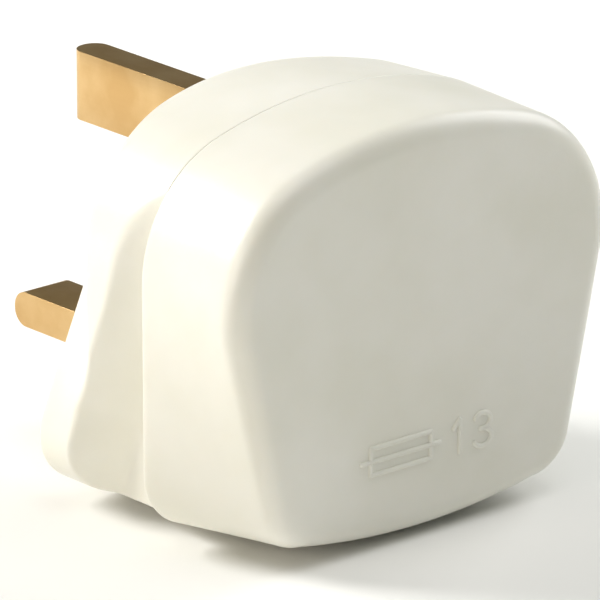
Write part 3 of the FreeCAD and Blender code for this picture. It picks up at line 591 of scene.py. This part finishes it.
left, right, low, high = (FUSE_MARK[key] for key in ("left", "right", "low", "high"))
middle = (low + high) / 2
digit_top = DIGIT_LOW + DIGIT_HEIGHT
waist = digit_top - 2 * LOOP_RADIUS
low_loop = (waist - DIGIT_LOW) / 2
waist_end = np.array([[THREE_X - LOOP_RADIUS / 3, waist]])
strokes = [
    [(left, low), (right, low)],
    [(left, high), (right, high)],
    [(left, low + STOP_SHORT), (left, high - STOP_SHORT)],
    [(right, low + STOP_SHORT), (right, high - STOP_SHORT)],
    [(left - WIRE_END, middle), (right + WIRE_END, middle)],
    [(ONE_X, DIGIT_LOW), (ONE_X, digit_top)],
    [(ONE_X - STOP_SHORT, digit_top - STOP_SHORT), (ONE_X - LOOP_RADIUS, digit_top - LOOP_RADIUS)],
    np.concatenate([loop_points(THREE_X, digit_top - LOOP_RADIUS, LOOP_RADIUS, 155, -90), waist_end]),
    loop_points(THREE_X, DIGIT_LOW + low_loop, low_loop, 80, -155),
]
points, faces, count = [], [], 0
for path in strokes:
    stroke_points, stroke_faces = stroke(path)
    points.append(stroke_points)
    faces += [[index + count for index in face] for face in stroke_faces]
    count += len(stroke_points)
face_marks = smooth(piece_from("face_marks", np.concatenate(points), faces), 60.0)
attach(face_marks, "root")
print("face marks", len(faces), "faces")

# %% [markdown]
# ## Materials
# Each finish starts from what the real thing is made of. Colours are given as sRGB hex values, because
# that is how a screen colour is picked, and one function turns them to the linear values that Blender
# needs. A pattern's scale is the number of its features in a metre, so it is worked out from their size.


# %% Helpers for materials
def linear(hex_colour):
    """An sRGB hex colour as linear red, green, blue and alpha."""
    values = [int(hex_colour[i:i + 2], 16) / 255 for i in (1, 3, 5)]
    return [v / 12.92 if v <= 0.04045 else ((v + 0.055) / 1.055) ** 2.4 for v in values] + [1.0]


def add(tree, kind, links=(), **settings):
    """Add a node; links are (socket name, source socket) and settings are input values or properties."""
    node = tree.nodes.new(kind)
    for name, value in settings.items():
        label = name.replace("_", " ").title()
        if label in node.inputs:
            node.inputs[label].default_value = value
        else:
            setattr(node, name, value)
    for name, source in links:
        tree.links.new(source, node.inputs[name])
    return node


def new_material(name):
    """An empty node material with its shader and output, and the object's own coordinates."""
    material = bpy.data.materials.new(name)
    material.use_nodes = True
    tree = material.node_tree
    tree.nodes.clear()
    shader = add(tree, "ShaderNodeBsdfPrincipled")
    add(tree, "ShaderNodeOutputMaterial", [("Surface", shader.outputs["BSDF"])])
    place = add(tree, "ShaderNodeTexCoord").outputs["Object"]
    return material, tree, shader, place


def per_metre(millimetres):
    """How many features of this size fit in a metre."""
    return 1 / (millimetres * MM)


def two_colours(tree, value, low, high, low_at=0.35, high_at=0.65):
    """A ramp between two hex colours over part of a value's range."""
    ramp = add(tree, "ShaderNodeValToRGB", [("Fac", value)])
    ramp.color_ramp.elements[0].position = low_at
    ramp.color_ramp.elements[0].color = linear(low)
    ramp.color_ramp.elements[1].position = high_at
    ramp.color_ramp.elements[1].color = linear(high)
    return ramp.outputs["Color"]


def span(tree, value, low, high):
    """A value from 0 to 1 stretched between two others."""
    return add(tree, "ShaderNodeMapRange", [("Value", value)], To_Min=low, To_Max=high).outputs["Result"]


# %% [markdown]
# ### Moulded urea
# Plugs of this kind are pressed from urea formaldehyde, a hard cream white thermoset. It is glossy where
# the mould was polished, slightly cloudy in colour, and light enters it a little way, which softens its
# shaded sides. Its IOR is about 1.55. The clouds are about 14 mm wide, where the powder flowed in the
# mould, and the gloss changes over about 3 mm with the mould's polish. Real orange peel is about 0.3 mm
# fine; at 0.7 mm it is just coarse enough to show in the render.

# %% Shell material
CLOUD_SIZE = 14.0
POLISH_SIZE = 3.0
PEEL_SIZE = 0.7
shell, tree, shader, place = new_material("urea_moulding")
cloud = add(tree, "ShaderNodeTexNoise", [("Vector", place)], Scale=per_metre(CLOUD_SIZE), Detail=3.0)
tint = two_colours(tree, cloud.outputs["Fac"], "#e8e6da", "#eeece3")
tree.links.new(tint, shader.inputs["Base Color"])
polish = add(tree, "ShaderNodeTexNoise", [("Vector", place)], Scale=per_metre(POLISH_SIZE), Detail=4.0)
tree.links.new(span(tree, polish.outputs["Fac"], 0.30, 0.40), shader.inputs["Roughness"])
peel = add(tree, "ShaderNodeTexNoise", [("Vector", place)], Scale=per_metre(PEEL_SIZE), Detail=2.0)
peel_bump = add(tree, "ShaderNodeBump", [("Height", peel.outputs["Fac"])], Strength=0.06, Distance=0.0002)
tree.links.new(peel_bump.outputs["Normal"], shader.inputs["Normal"])
shader.inputs["IOR"].default_value = 1.55
shader.inputs["Subsurface Weight"].default_value = 0.12
shader.inputs["Subsurface Radius"].default_value = (0.0016, 0.0013, 0.0010)
shader.inputs["Subsurface Scale"].default_value = 1.0
print(shell.name, "is ready")

# %% [markdown]
# ### Brass pins
# The pins are cut from drawn brass bar. Drawing leaves fine lines along the bar, so the roughness and a
# weak bump follow noise that is stretched 25 times along Y. Real drawing lines are a few hundredths of a
# millimetre apart; here they are a quarter of a millimetre, the finest that the render shows. The metal has
# dulled a little, so patches of about 5 mm go towards brown.

# %% Brass material
LINE_SIZE = 0.25
LINE_STRETCH = 25
PATCH_SIZE = 5.0


def drawn_brass(name, light, dark, roughness):
    """Brass with fine lines along Y and slow changes of colour."""
    material, tree, shader, place = new_material(name)
    shader.inputs["Metallic"].default_value = 1.0
    lines_place = add(tree, "ShaderNodeMapping", [("Vector", place)], Scale=(1.0, 1 / LINE_STRETCH, 1.0))
    lines = add(tree, "ShaderNodeTexNoise", [("Vector", lines_place.outputs["Vector"])],
                Scale=per_metre(LINE_SIZE), Detail=3.0)
    patches = add(tree, "ShaderNodeTexNoise", [("Vector", place)], Scale=per_metre(PATCH_SIZE), Detail=4.0)
    tree.links.new(two_colours(tree, patches.outputs["Fac"], dark, light), shader.inputs["Base Color"])
    tree.links.new(span(tree, lines.outputs["Fac"], roughness - 0.06, roughness + 0.08),
                   shader.inputs["Roughness"])
    bump = add(tree, "ShaderNodeBump", [("Height", lines.outputs["Fac"])], Strength=0.15, Distance=0.00005)
    tree.links.new(bump.outputs["Normal"], shader.inputs["Normal"])
    return material


pin_brass = drawn_brass("drawn_brass", "#d9b782", "#cca66e", 0.34)
terminal_brass = drawn_brass("sawn_brass", "#dcb765", "#c49a4c", 0.40)
clip_brass = drawn_brass("spring_brass", "#d2ae66", "#ba9350", 0.28)
print("three kinds of brass")

# %% [markdown]
# ### Inner finishes
# The screws are zinc plated steel, the fuse is glazed ceramic with plated caps and sand inside, the
# washer is vulcanised fibre and the cord bar is nylon. None shows from outside but the cover screw's
# head, yet each piece keeps its own finish for whoever opens the model.

# %% Inner materials
def plain_finish(name, light, dark, roughness, grain, metallic=0.0, bump=0.1):
    """A finish with a grain of a size in millimetres in its colour, roughness and bump."""
    material, tree, shader, place = new_material(name)
    shader.inputs["Metallic"].default_value = metallic
    noise = add(tree, "ShaderNodeTexNoise", [("Vector", place)], Scale=per_metre(grain), Detail=3.0)
    tree.links.new(two_colours(tree, noise.outputs["Fac"], dark, light), shader.inputs["Base Color"])
    tree.links.new(span(tree, noise.outputs["Fac"], roughness - 0.05, roughness + 0.07),
                   shader.inputs["Roughness"])
    relief = add(tree, "ShaderNodeBump", [("Height", noise.outputs["Fac"])], Strength=bump, Distance=0.0001)
    tree.links.new(relief.outputs["Normal"], shader.inputs["Normal"])
    return material


finishes = {
    "shell": shell,
    "pin_brass": pin_brass,
    "terminal_brass": terminal_brass,
    "clip_brass": clip_brass,
    "screw_steel": plain_finish("zinc_plate", "#d3d5d8", "#b9bcc0", 0.30, 1.5, metallic=1.0),
    "washer_fibre": plain_finish("vulcanised_fibre", "#8e3a2e", "#74291f", 0.65, 0.8, bump=0.3),
    "fuse_ceramic": plain_finish("glazed_ceramic", "#f3f1ea", "#e8e5db", 0.15, 4.0, bump=0.02),
    "fuse_sand": plain_finish("quartz_sand", "#d8cdb2", "#b5a98b", 0.85, 0.25, bump=0.8),
    "fuse_silver": plain_finish("nickel_plate", "#dddcd8", "#c6c5c0", 0.22, 2.0, metallic=1.0),
    "grip_nylon": plain_finish("moulded_nylon", "#e4e1d6", "#d5d2c5", 0.55, 1.2, bump=0.2),
}
slot_of = {part["node"]: part["material_slot"] for part in frame["record"]["subparts"]}
for node, thing in frame["nodes"].items():
    thing.data.materials.clear()
    thing.data.materials.append(finishes[slot_of[node]])
for piece in (cover_shell, base_shell, face_marks):
    piece.data.materials.clear()
    piece.data.materials.append(shell)
print("finishes:", ", ".join(sorted(finishes)))

# %% [markdown]
# ## Pins with broken edges
# A milled edge is never quite sharp, and the thin bright line along it is what makes metal look like
# metal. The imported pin's mesh is loose triangles, so a copy is merged first and then bevelled by about a
# tenth of a millimetre. Only edges over 30 degrees are, which leaves the round nose as it is.

# %% Bevelled copies of the pins
PIN_EDGE = 0.12
for node in PINS:
    copy = frame["nodes"][node].data.copy()
    piece = bpy.data.objects.new(node + "_dressed", copy)
    bpy.context.scene.collection.objects.link(piece)
    weld = piece.modifiers.new("merge", "WELD")
    weld.merge_threshold = 0.001 * MM
    bevel = piece.modifiers.new("edge", "BEVEL")
    bevel.width = PIN_EDGE * MM
    bevel.segments = 3
    bevel.limit_method = "ANGLE"
    bevel.angle_limit = math.radians(30)
    graph = bpy.context.evaluated_depsgraph_get()
    piece.data = bpy.data.meshes.new_from_object(piece.evaluated_get(graph))
    piece.modifiers.clear()
    smooth(piece, 25.0)
    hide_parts(node)
    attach(piece, "root")
    print(node, len(piece.data.polygons), "faces")

# %% [markdown]
# ## Floor
# The floor is a pale sheet that curves up far behind the plug, so no horizon shows. A plane and a wall
# would leave a line where they meet; a quarter circle between them doesn't.

# %% Floor
FLOOR_HEIGHT = SEAM["bottom"]
BACKDROP = {"half_width": 3000, "near": -3000, "far": 3000, "bend": 900, "height": 2600}


def backdrop_sheet(name, half_width, near, far, bend, height, columns=2, rows=40):
    """A sheet that runs flat, then round a quarter circle of one radius, then straight up."""
    flat = np.linspace(near, far - bend, 8)
    turn = np.linspace(0, math.pi / 2, rows)
    y = np.concatenate([flat, far - bend + bend * np.sin(turn), [far]])
    z = np.concatenate([np.zeros_like(flat), bend - bend * np.cos(turn), [height]]) + FLOOR_HEIGHT
    x = np.linspace(-half_width, half_width, columns)
    points = np.stack(np.broadcast_arrays(x[None, :], y[:, None], z[:, None]), axis=-1).reshape(-1, 3)
    index = np.arange(len(y) * columns).reshape(len(y), columns)
    quads = np.stack([index[:-1, :-1], index[:-1, 1:], index[1:, 1:], index[1:, :-1]], axis=-1)
    return piece_from(name, points, quads.reshape(-1, 4).tolist())


floor = smooth(backdrop_sheet("floor", **BACKDROP), 80.0)
paper, tree, shader, place = new_material("pale_paper")
shader.inputs["Base Color"].default_value = linear("#f4f4f2")
shader.inputs["Roughness"].default_value = 0.9
floor.data.materials.append(paper)
print("floor at", FLOOR_HEIGHT, "mm")

# %% [markdown]
# ## Light
# The photograph's left side and top are nearly white, its face is an even light grey and the metal's tops
# are dark. So the main light stands behind the plug on the left, where it reaches the walls and grazes past
# the face. A warm weak light from the left fills the finger grip, a wide one from the right keeps the top
# bright, and a large one above and in front lights the face. Large lights give soft shadows.

# %% Lights
def soft_light(name, place_mm, target_mm, size_mm, watts, colour="#ffffff"):
    """An area light that points at a target."""
    data = bpy.data.lights.new(name, "AREA")
    data.shape = "DISK"
    data.size = size_mm * MM
    data.energy = watts
    data.color = linear(colour)[:3]
    light = bpy.data.objects.new(name, data)
    light.location = Vector(place_mm) * MM
    light.rotation_mode = "QUATERNION"
    light.rotation_quaternion = (Vector(target_mm) - Vector(place_mm)).to_track_quat("-Z", "Y")
    bpy.context.scene.collection.objects.link(light)
    return light


MIDDLE_OF_BODY = (0, -10, 6)
soft_light("key_left_behind", (-400, 530, 445), MIDDLE_OF_BODY, 340, 6.3, "#fffdfa")
soft_light("fill_left", (-900, -60, 300), MIDDLE_OF_BODY, 500, 2.1, "#fff1de")
soft_light("fill_right", (800, 0, 500), MIDDLE_OF_BODY, 700, 4.9)
soft_light("sky_front", (60, -330, 900), (0, -120, -16), 700, 2.5)
world = bpy.data.worlds.new("studio")
world.use_nodes = True
world.node_tree.nodes["Background"].inputs["Color"].default_value = linear("#eef4ec")
world.node_tree.nodes["Background"].inputs["Strength"].default_value = 0.18
bpy.context.scene.world = world
bpy.context.scene.view_settings.view_transform = "Standard"
print(len(bpy.data.lights), "lights")

# %% [markdown]
# ## Camera
# The camera looks at the plug from the left front and a little above, from far enough away that the
# perspective is as weak as in the photograph. Its place is worked out from two angles and a distance, and
# the focal length from how many pixels a millimetre takes.

# %% Camera at the photograph's viewing angle
AZIMUTH = math.radians(41.0)
ELEVATION = math.radians(19.0)
PIXELS_PER_MM = 9.12
DISTANCE = 909.0
IMAGE_PIXELS = 600
SENSOR = 36.0
BODY_POINT = (0, -5, 8)
MOVED_RIGHT = 5.95
MOVED_DOWN = 4.42
right = Vector((math.cos(AZIMUTH), -math.sin(AZIMUTH), 0))
up = Vector((math.sin(AZIMUTH) * math.sin(ELEVATION), math.cos(AZIMUTH) * math.sin(ELEVATION),
             math.cos(ELEVATION)))
back = Vector((-math.sin(AZIMUTH) * math.cos(ELEVATION), -math.cos(AZIMUTH) * math.cos(ELEVATION),
               math.sin(ELEVATION)))
target = Vector(BODY_POINT) + MOVED_RIGHT * right - MOVED_DOWN * up
data = bpy.data.cameras.new("camera")
data.sensor_width = SENSOR
data.lens = PIXELS_PER_MM * DISTANCE * SENSOR / IMAGE_PIXELS
data.clip_start = 0.01
camera = bpy.data.objects.new("camera", data)
camera.location = (target + back * DISTANCE) * MM
camera.rotation_mode = "QUATERNION"
camera.rotation_quaternion = (-back).to_track_quat("-Z", "Y")
bpy.context.scene.collection.objects.link(camera)
bpy.context.scene.camera = camera
print("focal length", round(data.lens, 1), "mm")
